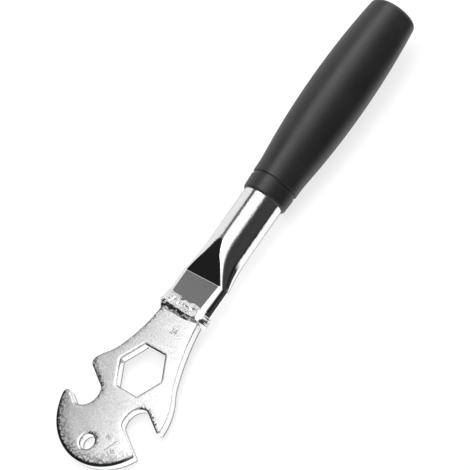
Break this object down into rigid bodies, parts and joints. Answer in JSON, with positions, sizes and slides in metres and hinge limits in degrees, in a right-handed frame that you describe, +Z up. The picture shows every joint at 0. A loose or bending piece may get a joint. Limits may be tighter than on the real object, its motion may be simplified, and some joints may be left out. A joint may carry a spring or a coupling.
{
  "type": "pedal wrench",
  "caption": "Bicycle pedal wrench: a flat round head with slanted open jaws, a hexagon hole and a hang hole, welded to a tube handle with a moulded grip.",
  "frame": {"origin": "bottom centre of the tool's bounding box, on the surface that it lies on", "axes": "+X along the tool from the head to the grip, +Z up out of the front face; the handle rises a little towards the grip, as the tool rests"},
  "size_m": [0.2744, 0.0606, 0.0333],
  "materials": {
    "satin_chrome": "satin plating over a stamped face",
    "bright_chrome": "bright plating",
    "plated_weld": "plated over a rough weld",
    "grip_rubber": "satin moulding"
  },
  "bodies": {
    "root": {"head_plate": "satin_chrome", "handle_tube": "bright_chrome", "weld_bead": "plated_weld", "grip": "grip_rubber"}
  },
  "joints": []
}
